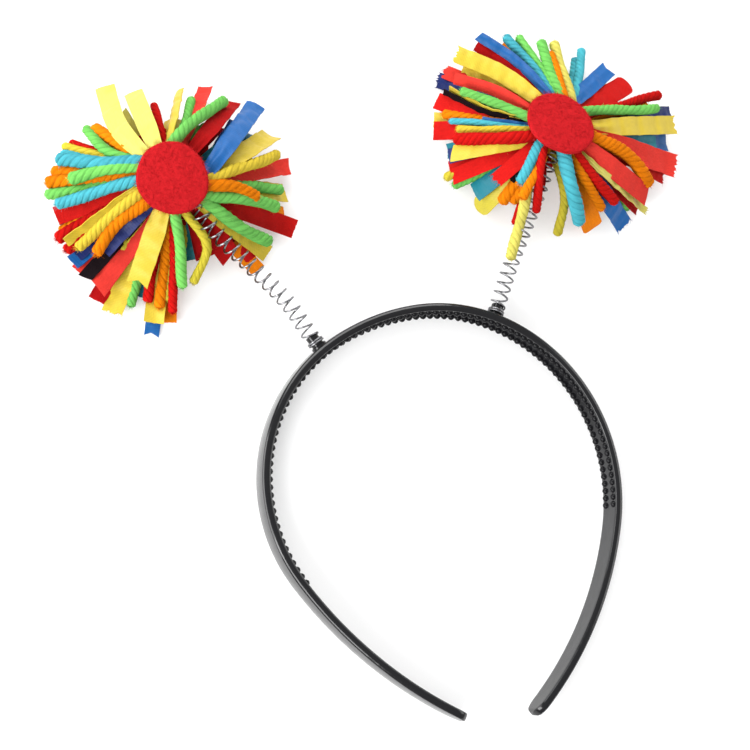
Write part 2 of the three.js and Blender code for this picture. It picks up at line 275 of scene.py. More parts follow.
yarn = functools.partial(Strand, "yarn")
ribbon = functools.partial(Strand, "ribbon")

LEFT_STRANDS = (
    ribbon("lemon", -51, -36.4, 35.4, 0.0, -2.6, 1.0),
    ribbon("lemon", -28, -24.5, 29, 0.4, 0, 0.95),
    yarn("red", -12, -15, 23.5, 1.6, 0, 0.68),
    ribbon("yellow", -8, 4, 26.8, 1.0, 0, 0.62, 40, "slant"),
    yarn("green", 9, 14.5, 25, 1.8, 0, 0.75),
    ribbon("scarlet", 15, 20, 30, 1.4, 0, 0.75),
    yarn("green", 1, 34.5, 28.6, 0.2, -1.4, 0.92),
    ribbon("crimson", 36, 38.7, 29.6, 1.0, 0, 0.85),
    ribbon("blue", 78, 48.3, 34.6, 0.0, 0, 1.0),
    ribbon("teal", 66, 59, 27.5, 2.6),
    ribbon("yellow", 86, 66.5, 33.2, 0.9, 0, 1.0, 8, "slant"),
    yarn("yellow", 91, 77.5, 33.3, 0.3, 0, 0.92),
    ribbon("scarlet", 92.5, 84.2, 36.4, 1.4, 0, 0.9, 0, "slant"),
    yarn("orange", 101, 102.5, 26.8, 0.0, -1.3),
    yarn("green", 100, 95.5, 33.6, 1.2, 0, 0.9),
    ribbon("yellow", 101, 97.5, 35, 1.9),
    yarn("green", 119, 105.3, 33.4, 0.4, -1.0, 1.05),
    ribbon("orange", 110, 108, 36, 1.8, 0, 0.8),
    ribbon("red", 118.5, 112.6, 41, 1.2, 0, 1.0, -8),
    yarn("green", 125, 123.5, 36, 0.3, 0.8, 1.05),
    ribbon("yellow", 130, 128.5, 37.4, 1.2, 0, 0.9),
    ribbon("crimson", 132, 134, 35, 1.9),
    ribbon("orange", 138, 137, 39, 1.9, 0, 0.8),
    ribbon("crimson", 143, 143.5, 30, 1.6, 0, 1.15, 0, "slant"),
    ribbon("crimson", 157, 156, 26.5, 1.8, 0, 1.2),
    ribbon("teal", 171, 169, 26, 1.9, 0, 0.7),
    yarn("olive", 160, 169.5, 32.8, 0.5, -6, 0.75),
    yarn("green", 176.5, 174.6, 34, 0.2, -0.7, 0.9),
    yarn("red", 180, 179.4, 41.6, 1.0, 0, 0.8),
    ribbon("orange", 181, 181.5, 44.5, 2.0, 0, 0.8),
    yarn("olive", 183.5, 182.6, 38, 1.3, 0, 0.7),
    yarn("orange", 186, 185.2, 40.2, 1.2, 0, 0.9),
    ribbon("yellow", 187, 187.3, 45, 1.5),
    ribbon("blue", 187, 187.6, 49, 2.3, 0, 0.75, 0, "notch"),
    yarn("red", 193, 191.7, 39, 1.6, 0, 0.85),
    ribbon("teal", 195, 195, 38, 2.0, 0, 0.7),
    ribbon("yellow", 198, 198.4, 34.5, 0.1, 0, 1.08, 0, "notch"),
    yarn("green", 200, 198.7, 41.6, 1.7, 0, 0.85),
    ribbon("yellow", 204, 204.2, 45.5, 1.8, 0, 1.0, 0, "frayed"),
    ribbon("crimson", 210, 212, 44.5, 2.1, 0, 0.9),
    ribbon("scarlet", 208, 214.3, 41, 1.0, 0, 1.05, 0, "slant"),
    yarn("olive", 213, 216, 27, 1.3, 0, 0.7),
    ribbon("ink", 219, 221.3, 40.8, 1.05, 0, 0.66, 0, "slant"),
    ribbon("navy", 221, 222.5, 31, 0.4, 0, 0.7),
    ribbon("scarlet", 224, 225.2, 41, 2.1, 0, 0.8),
    ribbon("blue", 229, 229.8, 40.4, 1.8, 0, 0.8),
    yarn("orange", 227.5, 225.5, 33.4, 0.2, 1.6),
    ribbon("navy", 234, 231.5, 38, 1.5, 0, 0.75),
    yarn("yellow", 244.5, 233.5, 36.5, 0.1, 0.7, 0.9),
    yarn("red", 244, 236, 40, 0.9, 0, 0.95),
    ribbon("yellow", 255, 239, 38.4, 0.1, 0, 0.5, 52),
    yarn("red", 247, 242.3, 40.5, 1.3),
    yarn("orange", 248, 244.8, 38.5, 1.8),
    ribbon("navy", 251, 248, 37.5, 1.9, 0, 0.8),
    ribbon("red", 257, 252, 37.8, 1.1, 0, 0.9),
    yarn("cyan", 266, 257, 36.8, 0.2, 0.4, 0.95),
    yarn("green", 268, 262.4, 39.4, 1.3, 0, 0.9),
    yarn("orange", 274, 267.5, 39, 1.2, 0.6, 1.05),
    yarn("orange", 279, 272.5, 37, 1.3, 0.6),
    yarn("green", 290, 270, 31.8, 0.0, 0.6),
    yarn("cyan", 297, 279, 36, 0.1, -0.6, 1.1),
    yarn("cyan", 287, 281, 35, 1.2),
    yarn("yellow", 293, 286, 35, 1.2, 0, 0.8),
    yarn("red", 295, 289.6, 33.2, 1.4, 0, 0.6),
    yarn("green", 297, 299.6, 31, 0.7, -2.2, 0.85),
    yarn("orange", 301, 302.9, 28.5, 1.3, 0, 1.1),
)

RIGHT_STRANDS = (
    ribbon("blue", -23, -43, 41.2, 0.2, 1.6, 0.56, 0, "slant"),
    ribbon("crimson", 325, 312.6, 39.5, 0.9, 1.2, 0.6),
    ribbon("yellow", 317, 303.7, 43.0, 0.3, 1.6, 0.95, 0, "frayed"),
    ribbon("scarlet", 299, 294.2, 43.6, 1.7, 0, 0.8, 0, "frayed"),
    ribbon("scarlet", 295, 293.0, 39.6, 0.6, 1.4, 0.62, 12),
    ribbon("navy", 291, 289.6, 45, 2.0, 0, 0.85, 0, "frayed"),
    yarn("green", 281, 287.6, 36, 0.1, 0.7, 0.85),
    ribbon("yellow", 274.7, 286.8, 40.2, 0.6, -1.9, 0.5, 62),
    ribbon("ink", 272, 284.6, 41.6, 1.0, -2.0, 0.6, 58),
    ribbon("red", 272, 280.3, 43.3, 1.4, -1.6, 0.95),
    yarn("orange", 268, 275.2, 40.4, 1.7, -0.8, 0.95),
    ribbon("blue", 265, 272, 27, 1.0, 0, 0.4, 30),
    yarn("cyan", 261, 271.5, 38, 1.1, 0, 0.6),
    yarn("yellow", 258, 267, 35.6, 0.6, 0, 0.7),
    ribbon("yellow", 268, 271.6, 43.5, 1.9, 0, 0.8),
    ribbon("red", 262, 266.5, 43.5, 1.6),
    yarn("red", 247, 262.2, 36.8, 0.1, -0.8, 1.1),
    ribbon("yellow", 242, 254.6, 38.8, 0.5, 0, 0.85, 0, "slant"),
    ribbon("navy", 246, 253.5, 40, 1.7, 0, 0.8),
    ribbon("teal", 249, 256, 40, 1.9, 0, 0.8),
    ribbon("red", 240, 248.6, 41, 1.8, 0, 0.6),
    ribbon("red", 233, 243.6, 41.6, 1.2, 0, 0.85),
    yarn("olive", 238, 244.6, 44.0, 2.0, 0, 0.8),
    yarn("green", 236, 239.6, 42.5, 1.9, 0, 0.85),
    ribbon("teal", 230, 231.3, 38, 1.8, 0, 1.05),
    ribbon("red", 228, 228.6, 29.6, 0.6, 0, 0.8, 0, "frayed"),
    ribbon("olive", 222, 224.2, 41.4, 2.0, 0, 1.15, 0, "round"),
    ribbon("ink", 222, 223, 26, 1.0, 0, 0.7),
    yarn("orange", 217, 217.5, 33.6, 1.2, 0, 1.1),
    yarn("orange", 211, 211.0, 31.5, 1.4, 0, 1.0),
    yarn("cyan", 223, 215.0, 24.8, 0.1, 0, 1.0),
    yarn("orange", 209, 206.5, 29, 0.9, 0, 0.9, lift=11),
    yarn("lemon", 226, 200, 49.6, 1.4, 0, 0.98, lift=9),
    yarn("red", 216, 205.6, 38, 2.0, 0, 0.55),
    yarn("red", 213, 196, 31.6, 0.0, 0, 0.8),
    yarn("olive", 190, 181.3, 37.8, 2.2, -2.6, 0.85),
    yarn("cyan", 174, 169.3, 34.6, 0.2, 0, 1.25),
    ribbon("orange", 167, 163, 38, 1.6, 0, 1.2, 0, "round"),
    yarn("orange", 163, 154.6, 32.6, 0.8, 0, 0.9),
    yarn("red", 155, 145.7, 33, 0.6),
    ribbon("blue", 150, 148.5, 41, 1.5, 0, 1.05, 0, "frayed"),
    yarn("green", 143, 141.6, 37, 2.4, 0, 0.8),
    ribbon("scarlet", 132, 130, 38.6, 0.3, 0, 1.05, 0, "slant"),
    ribbon("lemon", 147, 136, 41.9, 0.5, 0, 0.42, 15, "frayed"),
    ribbon("crimson", 144, 138.2, 39.5, 1.2, 0, 0.7),
    yarn("orange", 113, 124.2, 36.8, 0.0, -3, 1.22),
    ribbon("scarlet", 115, 110.5, 42, 0.9, 0, 1.35, 0, "frayed"),
    ribbon("red", 116, 117.5, 39.5, 1.4, 0, 0.8, 0, "frayed"),
    ribbon("olive", 107, 104, 35, 2.0, 0, 0.7),
    ribbon("blue", 102, 100.5, 36.5, 1.7, 0, 1.05),
    ribbon("teal", 103, 101.5, 33, 1.3, 0, 0.7),
    ribbon("yellow", 97, 90.8, 38.8, 0.3, 0, 1.05, 0, "frayed"),
    yarn("green", 67, 81.5, 33.6, 0.1, 0, 0.9),
    ribbon("navy", 80, 84.5, 38, 1.6, 0, 0.8),
    yarn("red", 72, 74, 35.2, 1.0, 0, 0.9),
    yarn("orange", 78, 79, 30, 1.6, 0, 0.8),
    ribbon("red", 60, 59, 27, 0.9, 0, 1.2, 0, "round"),
    yarn("olive", 50, 52, 20, 1.7, 0, 0.7),
    ribbon("blue", 33, 41.3, 25.4, 0.1, 0, 0.97, 0, "notch"),
    yarn("cyan", 27, 16.5, 26.2, 0.9, 0, 0.85),
    yarn("cyan", 17, 13, 22.5, 1.8, 0, 0.85),
    yarn("lemon", 17, -4.4, 27.8, 0.2, -0.8, 0.95),
    yarn("orange", 4, -8.8, 24.5, 0.0, 0, 0.8),
    yarn("green", -2, -14, 29, 0.3, -0.6),
    yarn("green", -14, -26, 33.2, 0.8, 0.6, 0.85),
    yarn("cyan", -19, -32.3, 35.5, 0.7, 0.8, 0.85),
    ribbon("orange", -22, -34, 34, 1.8, 0, 0.7),
    ribbon("yellow", 306, 298.4, 38.5, 1.5, 1.0, 0.6),
)

STRANDS = {"left": LEFT_STRANDS, "right": RIGHT_STRANDS}

# Cloth colours as screen values in full light, and the share of the light that they send back.
# Three of them are painted shade: darker copies of red, yellow and blue for strands that lie in shade.
COLOURS = {
    "red": (212, 24, 20),
    # Painted shade: a darker copy of red, for red strands that lie in shade.
    "crimson": (190, 14, 16),
    "scarlet": (244, 64, 54),
    "orange": (255, 140, 12),
    "yellow": (233, 205, 66),
    "lemon": (235, 224, 108),
    # Painted shade: a darker copy of yellow, for yellow strands that lie low in shade.
    "olive": (216, 200, 64),
    "green": (128, 216, 104),
    "cyan": (86, 193, 209),
    "teal": (22, 132, 150),
    "blue": (34, 106, 180),
    # Painted shade: a darker copy of blue, for blue strands that lie in shade.
    "navy": (32, 48, 112),
    "ink": (22, 10, 16),
}
FELT_COLOUR = (216, 36, 42)
CLOTH_SHARE = 0.62
RIBBED = ("blue", "navy", "teal")
TWILLED = ("lemon", "yellow", "olive")
TWILL = 0.56
RIBS = 0.36

# Stage, in metres and watts: a softly glowing white table, a white sky and four soft lights.
FLOOR_HALF = 20.0
SKY = (0.4, 0.55)
LIGHT_TARGET = (0, -0.02, 0)
SOFTBOXES = (
    ("softbox_left", (-0.85, 0.1, 0.32), (0.9, 0.5), 9),
    ("softbox_back", (0.0, 0.8, 0.5), (1.1, 0.6), 11),
    ("softbox_front", (-0.8, -0.55, 0.65), (0.8, 0.5), 12),
    ("softbox_right", (0.9, -0.05, 0.4), (0.9, 0.5), 4),
)


def linear(screen):
    """Screen values from 0 to 255 as linear light."""
    shares = np.array(screen) / 255
    return np.where(shares <= 0.04045, shares / 12.92, ((shares + 0.055) / 1.055) ** 2.4)


def unit(vectors):
    return vectors / np.linalg.norm(vectors, axis=-1, keepdims=True)


def ease(share):
    """A share from 0 to 1 that starts and ends softly."""
    share = np.clip(share, 0, 1)
    return share * share * (3 - 2 * share)


# Gathering shapes

class Shape:
    """Corners and faces of one piece. Each corner also keeps its place on the straightened strand,
    and its tone: by what share cloth is lighter or darker than its colour, at random and by painted
    shade in yarn grooves and painted light on loose fibres, and how matt plastic is."""

    def __init__(self):
        self.corners = []
        self.faces = []
        self.lies = []
        self.tones = []
        self.count = 0

    def add(self, corners, faces, lies=None, tones=0.0):
        """Corners, and blocks of faces with three or four corner numbers a row."""
        self.corners.append(corners)
        self.lies.append(corners if lies is None else lies)
        self.tones.append(np.broadcast_to(tones, len(corners)))
        self.faces.extend(block + self.count for block in faces)
        self.count += len(corners)

    def add_tube(self, rings, lies=None, tones=0.0):
        """Rings of corners that run anticlockwise about the tube's line, with a fan on each end."""
        rows, around = rings.shape[:2]
        grid = np.arange(rows * around).reshape(rows, around)
        faces = (walls(grid), fan(grid.size, grid[0, ::-1]), fan(grid.size + 1, grid[-1]))
        tones = np.broadcast_to(tones, (rows, around))[..., None]
        lies = None if lies is None else capped(lies)
        self.add(capped(rings), faces, lies, capped(tones)[:, 0])

    def add_slab(self, rings, lies, tones):
        """Rings that run over the top from one edge to the other and back below."""
        rows, around = rings.shape[:2]
        grid = np.arange(rows * around).reshape(rows, around)
        top = grid[:, :around // 2]
        below = grid[:, :around // 2 - 1:-1]
        ends = np.stack((top[:, :-1], top[:, 1:], below[:, 1:], below[:, :-1]), axis=-1)
        faces = (walls(grid), ends[0][:, ::-1], ends[-1])
        self.add(rings.reshape(-1, 3), faces, lies.reshape(-1, 3), tones)

    def add_hairs(self, roots, ways, longs, radius, draw, lies=None, tones=0.0):
        """Thin three-sided fibres that stand on the roots, each bent its own way."""
        bends = unit(draw.normal(size=roots.shape))
        across = unit(np.cross(ways, bends))
        other = np.cross(ways, across)
        angles = np.arange(3) * ROUND / 3
        circle = np.cos(angles)[:, None] * across[:, None] + np.sin(angles)[:, None] * other[:, None]
        longs = longs[:, None]
        knees = roots + longs * (KNEE * ways + KNEE_BEND * bends)
        tips = roots + longs * (ways + HAIR_BEND * bends)
        corners = np.concatenate((
            roots[:, None] + radius * circle,
            knees[:, None] + KNEE_THIN * radius * circle,
            tips[:, None],
        ), axis=1)
        corners[..., 2] = np.maximum(corners[..., 2], LOWEST)
        each = corners.shape[1]
        first = each * np.arange(len(roots))[:, None]
        ring = np.arange(3)
        after = np.roll(ring, -1)
        sides = np.stack((ring, after, 3 + after, 3 + ring), axis=-1)
        points = np.stack((3 + ring, 3 + after, np.full(3, 6)), axis=-1)
        faces = (
            first + ring[::-1],
            (first[:, None] + sides).reshape(-1, 4),
            (first[:, None] + points).reshape(-1, 3),
        )
        lies = None if lies is None else np.repeat(lies, each, axis=0)
        tones = np.repeat(np.broadcast_to(tones, len(roots)), each)
        self.add(corners.reshape(-1, 3), faces, lies, tones)

    def piece(self, name, material, node, slot, crease=None):
        loops = np.concatenate([block.ravel() for block in self.faces])
        sizes = np.concatenate([np.full(len(block), block.shape[1]) for block in self.faces])
        mesh = bpy.data.meshes.new(name)
        mesh.vertices.add(self.count)
        mesh.vertices.foreach_set("co", (np.concatenate(self.corners) * MM).ravel())
        mesh.loops.add(len(loops))
        mesh.loops.foreach_set("vertex_index", loops)
        mesh.polygons.add(len(sizes))
        mesh.polygons.foreach_set("loop_start", np.cumsum(sizes) - sizes)
        mesh.update(calc_edges=True)
        lie = mesh.attributes.new("lie", "FLOAT_VECTOR", "POINT")
        lie.data.foreach_set("vector", np.concatenate(self.lies).ravel())
        tone = mesh.attributes.new("tone", "FLOAT", "POINT")
        tone.data.foreach_set("value", np.concatenate(self.tones))
        mesh.shade_smooth()
        if crease is not None:
            mesh.set_sharp_from_angle(angle=math.radians(crease))
        mesh.materials.append(material)
        obj = bpy.data.objects.new(name, mesh)
        bpy.context.scene.collection.objects.link(obj)
        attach(obj, "root")
        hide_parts(node)


def walls(grid):
    """Faces between rows of corner numbers, each row closed to a ring."""
    after = np.roll(grid, -1, axis=1)
    return np.stack((grid[:-1], after[:-1], after[1:], grid[1:]), axis=-1).reshape(-1, 4)


def fan(hub, ring):
    return np.stack((np.full(len(ring), hub), ring, np.roll(ring, -1)), axis=-1)


def capped(rings):
    """The rings' values as one list, then the mean of the first ring and of the last."""
    return np.concatenate((rings.reshape(-1, rings.shape[-1]), rings[[0, -1]].mean(axis=1)))


# Lines through space

def eye_frame():
    yaw, tilt, roll = np.radians((EYE_YAW, EYE_TILT, EYE_ROLL))
    back = np.array((-math.sin(yaw) * math.cos(tilt), math.sin(tilt), math.cos(yaw) * math.cos(tilt)))
    level = unit(np.cross((0, 1, 0), back))
    upright = np.cross(back, level)
    right = math.cos(roll) * level + math.sin(roll) * upright
    up = math.cos(roll) * upright - math.sin(roll) * level
    return EYE_TARGET + EYE_AWAY * back, right, up, back


EYE, EYE_RIGHT, EYE_UP, EYE_BACK = eye_frame()


def on_plane(spots, point, normal):
    """Where the eye's rays through the spots meet a plane."""
    rays = spots - EYE
    share = ((point - EYE) @ normal) / (rays @ normal)
    return EYE + rays * share[:, None]


def line_length(points):
    return np.linalg.norm(np.diff(points, axis=0), axis=1).sum()


def along_line(points, distances):
    """Points at distances along a line, straight on beyond its end."""
    gone = np.concatenate(([0], np.cumsum(np.linalg.norm(np.diff(points, axis=0), axis=1))))
    beyond = np.maximum(distances - gone[-1], 0)
    found = np.stack([np.interp(distances, gone, values) for values in points.T], axis=-1)
    return found + beyond[..., None] * unit(points[-1] - points[-2])


def between(low, high, at, first, second):
    """The blend of two points that is the first at low and the second at high."""
    share = (at - low) / (high - low)
    return first + (second - first) * share


def smooth_line(points, count):
    """A centripetal curve through the points, as evenly spaced points."""
    points = np.asarray(points, float)
    padded = np.vstack((2 * points[0] - points[1], points, 2 * points[-1] - points[-2]))
    knots = np.concatenate(([0], np.cumsum(np.linalg.norm(np.diff(padded, axis=0), axis=1) ** 0.5)))
    dense = []
    for i in range(len(points) - 1):
        spots, stops = padded[i:i + 4], knots[i:i + 4]
        at = np.linspace(stops[1], stops[2], CURVE_STEPS, endpoint=False)[:, None]
        pairs = [between(stops[j], stops[j + 1], at, spots[j], spots[j + 1]) for j in range(3)]
        trios = [between(stops[j], stops[j + 2], at, pairs[j], pairs[j + 1]) for j in range(2)]
        dense.append(between(stops[1], stops[2], at, *trios))
    dense = np.vstack((*dense, points[-1]))
    return along_line(dense, np.linspace(0, line_length(dense), count))


def line_frames(points, upward):
    """Directions along a line, up from it, and across it."""
    along = unit(np.gradient(points, axis=0))
    over = unit(upward - (along @ upward)[:, None] * along)
    return along, over, np.cross(over, along)


def circle_angles(count):
    return np.linspace(0, ROUND, count, endpoint=False)


# Band

def band_at(side, distance):
    """The middle of the wall and the outward direction at a distance along one limb."""
    sign = -1 if side == "left" else 1
    rest, turn, x, y = distance, 0.0, 0.0, 0.0
    for radius, length in LIMBS[side]:
        run = min(rest, length)
        swing = run / radius
        x += radius * (math.sin(turn + swing) - math.sin(turn))
        y += radius * (math.cos(turn + swing) - math.cos(turn))
        turn += swing
        rest -= run
    return np.array((sign * x, y, 0.0)), np.array((sign * math.sin(turn), math.cos(turn), 0.0))


def rounding(left_over, radius):
    """How far a rounded end has drawn in, at a distance from its tip."""
    short = max(radius - left_over, 0)
    return radius - math.sqrt(radius ** 2 - short ** 2)


def wall_edge():
    """The wall's upper edge as arcs from its outer face to its inner face, each with a radius and the
    angle that it turns to. The arc without a radius fills the width that the others leave."""
    turns = np.radians([0] + [turn for _, turn in EDGE_ARCS])
    widths = -np.diff(np.cos(turns))
    taken = sum(radius * width for (radius, _), width in zip(EDGE_ARCS, widths) if radius)
    free = sum(width for (radius, _), width in zip(EDGE_ARCS, widths) if not radius)
    rest = (OUTER + INNER - CROWN - taken) / free
    points = [np.array((OUTER - CROWN, 0.0))]
    for (radius, _), first, last in zip(EDGE_ARCS, turns, turns[1:]):
        hub = points[-1] - (radius or rest) * np.array((math.cos(first), math.sin(first)))
        for turn in np.linspace(first, last, EDGE_POINTS)[1:]:
            points.append(hub + (radius or rest) * np.array((math.cos(turn), math.sin(turn))))
    return np.array(points[1:])


def wall_section():
    """Outline of the wall, from the bottom of its crowned outer face upwards and round: distances
    outward from the band's line, and heights from the middle of the wall."""
    edge = wall_edge()
    half = BAND_WIDE / 2 - edge[:, 1].max()
    edge = edge + (0, half)
    share = np.linspace(-1, 1, FACE_POINTS)
    outer_face = np.column_stack((OUTER - CROWN * share ** 2, half * share))
    inner_face = np.column_stack((np.full(FACE_POINTS, -INNER), edge[-1, 1] * -share))[1:-1]
    return np.concatenate((outer_face, edge, inner_face, edge[::-1] * (1, -1)))


def limb_length(side):
    return sum(length for _, length in LIMBS[side])


def wall_ring(side, stop, section):
    place, out = band_at(side, stop)
    left_over = limb_length(side) - stop
    middle, half = (OUTER - INNER) / 2, (OUTER + INNER) / 2
    thin = 1 - rounding(left_over, half) / half
    low = 1 - 2 * rounding(left_over, TIP_CORNER) / BAND_WIDE
    outward = middle + (section[:, :1] - middle) * thin
    return place + outward * out + (section[:, 1:] * low + BAND_WIDE / 2) * UP


def wall_stops(side):
    """Distances along one limb at which its outline is placed, closer where its tip is rounded."""
    length = limb_length(side)
    even = np.arange(0, length - TIP_CORNER, BAND_STEP)
    tip = length - TIP_CORNER * np.cos(np.linspace(0, TIP_TURN, TIP_POINTS))
    return np.concatenate((even, tip))


def add_wall(shape):
    section = wall_section()
    stops = [("left", stop) for stop in wall_stops("left")[::-1]]
    stops += [("right", stop) for stop in wall_stops("right")[1:]]
    rings = np.array([wall_ring(side, stop, section) for side, stop in stops])
    fades = [(stop - MATT_RUN) / (TEETH_END[side] - MATT_RUN) for side, stop in stops]
    matt = 1 - ease(np.array(fades))
    tones = matt[:, None] * (section[:, 0] <= -INNER)
    shape.add_tube(rings[:, ::-1], tones=tones[:, ::-1])


def add_turned(shape, foot, way, profile, sides, tone=0.0):
    """A round form turned about a level direction, from pairs of distance along it and radius."""
    across = unit(np.cross(way, UP))
    angles = circle_angles(sides)[:, None]
    circle = np.cos(angles) * across + np.sin(angles) * np.cross(way, across)
    rings = np.array([foot + way * along + circle * radius for along, radius in profile])
    shape.add_tube(rings, tones=tone)


def add_teeth(shape):
    shares = np.linspace(0, 1, TOOTH_RINGS, endpoint=False)
    profile = [(-TOOTH_ROOT, TOOTH_BASE)]
    profile += [(TOOTH_TALL * share, TOOTH_BASE * (1 - share ** TOOTH_BLUNT) ** 0.5) for share in shares]
    profile.append((TOOTH_TALL, TOOTH_BASE * TOOTH_POINT))
    for side in SIDES:
        first = 0 if side == "left" else 1
        last = round(TEETH_END[side] / TOOTH_PITCH) - 1
        for i in range(first, last + 1):
            place, out = band_at(side, i * TOOTH_PITCH)
            for height in (TOOTH_INSET, BAND_WIDE - TOOTH_INSET):
                foot = place - out * INNER + UP * height
                add_turned(shape, foot, -out, profile, TOOTH_SIDES, TOOTH_MATT)


def add_pegs(shape):
    profile = (
        (-PEG_ROUND, PEG_FOOT_RADIUS),
        (PEG_FOOT_TALL - PEG_ROUND, PEG_FOOT_RADIUS),
        (PEG_FOOT_TALL, PEG_FOOT_RADIUS - PEG_ROUND),
        (PEG_FOOT_TALL, PEG_RADIUS),
        (PEG_TALL - PEG_ROUND, PEG_RADIUS),
        (PEG_TALL, PEG_RADIUS - PEG_ROUND),
    )
    for side, stop in PEG_AT.items():
        place, out = band_at(side, stop)
        add_turned(shape, place + out * OUTER + UP * BAND_WIDE / 2, out, profile, PEG_SIDES)


def make_band():
    shape = Shape()
    add_wall(shape)
    add_teeth(shape)
    add_pegs(shape)
    shape.piece("band_body", black_plastic(), "band", "black_plastic", CREASE)


# Springs

def facing(pompom):
    lean, heading = np.radians((pompom.lean, pompom.heading))
    flat = math.sin(lean)
    return np.array((flat * math.sin(heading), flat * math.cos(heading), math.cos(lean)))


def spring_route(side):
    """The coil's middle line: from its seat over the peg and to the rim of the pompom's head."""
    place, out = band_at(side, PEG_AT[side])
    middle = place + out * OUTER + UP * BAND_WIDE / 2
    pompom = POMPOMS[side]
    normal = facing(pompom)
    hub = np.array(pompom.centre) - normal * (FELT / 2 + GAP + COIL_RADIUS + WIRE + GAP)
    way = np.array(SPRING_ROUTES[side][-1]) - hub
    way = unit(way - (way @ normal) * normal)
    end = hub + way * (HEAD_RADIUS + GAP + WIRE + GAP)
    stops = (middle + out * COIL_SEAT, middle + out * PEG_TALL, *SPRING_ROUTES[side], end)
    return smooth_line(stops, ROUTE_POINTS)


def make_spring(side):
    route = spring_route(side)
    length = line_length(route)
    turns = np.linspace(0, COIL_TURNS, COIL_TURNS * TURN_STEPS)
    gone = np.interp(turns, (0, CLOSE_TURNS, COIL_TURNS), (0, CLOSE_RUN, length))
    middle = along_line(route, gone)
    axis = unit(np.gradient(middle, axis=0))
    across = unit(np.cross(axis, UP))
    over = np.cross(across, axis)
    angle = ROUND * turns[:, None]
    outward = np.cos(angle) * across + np.sin(angle) * over
    wire = middle + COIL_RADIUS * outward
    along = unit(np.gradient(wire, axis=0))
    outward = unit(outward - (outward * along).sum(axis=1)[:, None] * along)
    other = np.cross(along, outward)
    spin = circle_angles(WIRE_SIDES)[:, None]
    rings = wire[:, None] + WIRE * (np.cos(spin) * outward[:, None] + np.sin(spin) * other[:, None])
    shape = Shape()
    shape.add_tube(rings)
    shape.piece(f"spring_wire_{side}", bright_wire(), f"spring_{side}", "spring_wire")


# Pompoms

def at_bearing(bearing, distance):
    angle = math.radians(bearing)
    return np.array((distance * math.sin(angle), distance * math.cos(angle)))


def fall_reach(strands, bearing):
    """How far out the strands about a bearing go before they lie on the surface."""
    near = [
        strand.reach for strand in strands
        if abs((strand.tip - bearing + 180) % 360 - 180) < FALL_SPAN
    ]
    return np.percentile(near or [strand.reach for strand in strands], FALL_RANK)


def strand_line(pompom, strand, clear, fall):
    """A strand's middle line: under the disc, out past its rim, and down to its tip."""
    rim = at_bearing(strand.leaves, min(RIM, strand.reach - HEAD_RUN))
    tip = at_bearing(strand.tip, strand.reach)
    way = unit(tip - rim)
    middle = (rim + tip) / 2 + strand.bow * np.array((way[1], -way[0]))
    inward = unit((1 - INWARD) * unit(middle - rim) + INWARD * unit(rim))
    flat = smooth_line((rim - UNDER_RUN * inward, rim, middle, tip), ROUTE_POINTS)
    centre = np.array(pompom.centre)
    normal = facing(pompom)
    spots = centre + flat[:, :1] * EYE_RIGHT + flat[:, 1:] * EYE_UP
    upper = on_plane(spots, centre - normal * (UNDER_DISC + LAYER_UNDER * strand.level), normal)
    lower = on_plane(spots, UP * (max(TIP_HEIGHT - LAYER_TIP * strand.level, clear) + strand.lift), UP)
    away = np.linalg.norm(flat, axis=1)[:, None]
    share = np.clip((away - FALL_START) / (fall - FALL_START), 0, 1) ** FALL_POWER
    line = upper + (lower - upper) * share
    line[:, 2] = np.maximum(line[:, 2], clear)
    return along_line(line, np.linspace(0, line_length(line), LINE_POINTS))


def add_yarn(shape, pompom, strand, fall, draw):
    radius = YARN_RADIUS * strand.wide
    line = strand_line(pompom, strand, radius + LOWEST, fall)
    length = line_length(line)
    count = int(length / YARN_STEP)
    line = smooth_line(line, count)
    gone = np.linspace(0, length, count)
    along, over, across = line_frames(line, UP)
    phase = draw.uniform(0, ROUND, 4)
    aside = WANDER * np.sin(gone / WANDER_WAVE + phase[0]) * ease(gone / length)
    line = line + aside[:, None] * across
    angle = circle_angles(YARN_AROUND)
    lobe = np.abs(np.sin(PLIES * angle / 2))
    groove = (1 - lobe) ** PLY_EDGE
    lead = PLY_LEAD * draw.uniform(*LEAD_RANGE)
    twist = ROUND * gone / lead + TWIST_SWAY * np.sin(gone / TWIST_WAVE + phase[1])
    spin = (angle + twist[:, None] + phase[2])[..., None]
    left_over = np.clip((length - gone) / (radius * END_ROUND), 0, 1)
    blunt = END_WIDE + (1 - END_WIDE) * np.sqrt(1 - (1 - left_over) ** 2)
    swell = 1 + SWELL * np.sin(gone / SWELL_WAVE + phase[3]) + draw.normal(0, SWELL_SPREAD, count)
    size = (radius * blunt * swell)[:, None] * (1 - PLY_GROOVE * groove)
    radial = np.cos(spin) * across[:, None] + np.sin(spin) * over[:, None]
    rings = line[:, None] + size[..., None] * radial
    rings[..., 2] = np.maximum(rings[..., 2], LOWEST)
    lies = np.empty_like(rings)
    lies[..., 0] = gone[:, None] + draw.uniform(0, SPOOL)
    lies[..., 1] = radius * np.cos(angle)
    lies[..., 2] = radius * np.sin(angle)
    plies = draw.normal(0, PLY_SPREAD, PLIES)[(PLIES * angle / ROUND).astype(int)]
    # Painted shade: the grooves are coloured darker; the strand's and the plies' shifts are random.
    tones = draw.normal(0, STRAND_SPREAD) + plies - GROOVE_PAINTED_SHADE * groove
    tones = np.broadcast_to(tones, rings.shape[:2])
    shape.add_tube(rings, lies, tones)
    if strand.fuzzy:
        add_fuzz(shape, strand, length, rings, radial, along, lies, tones, draw)


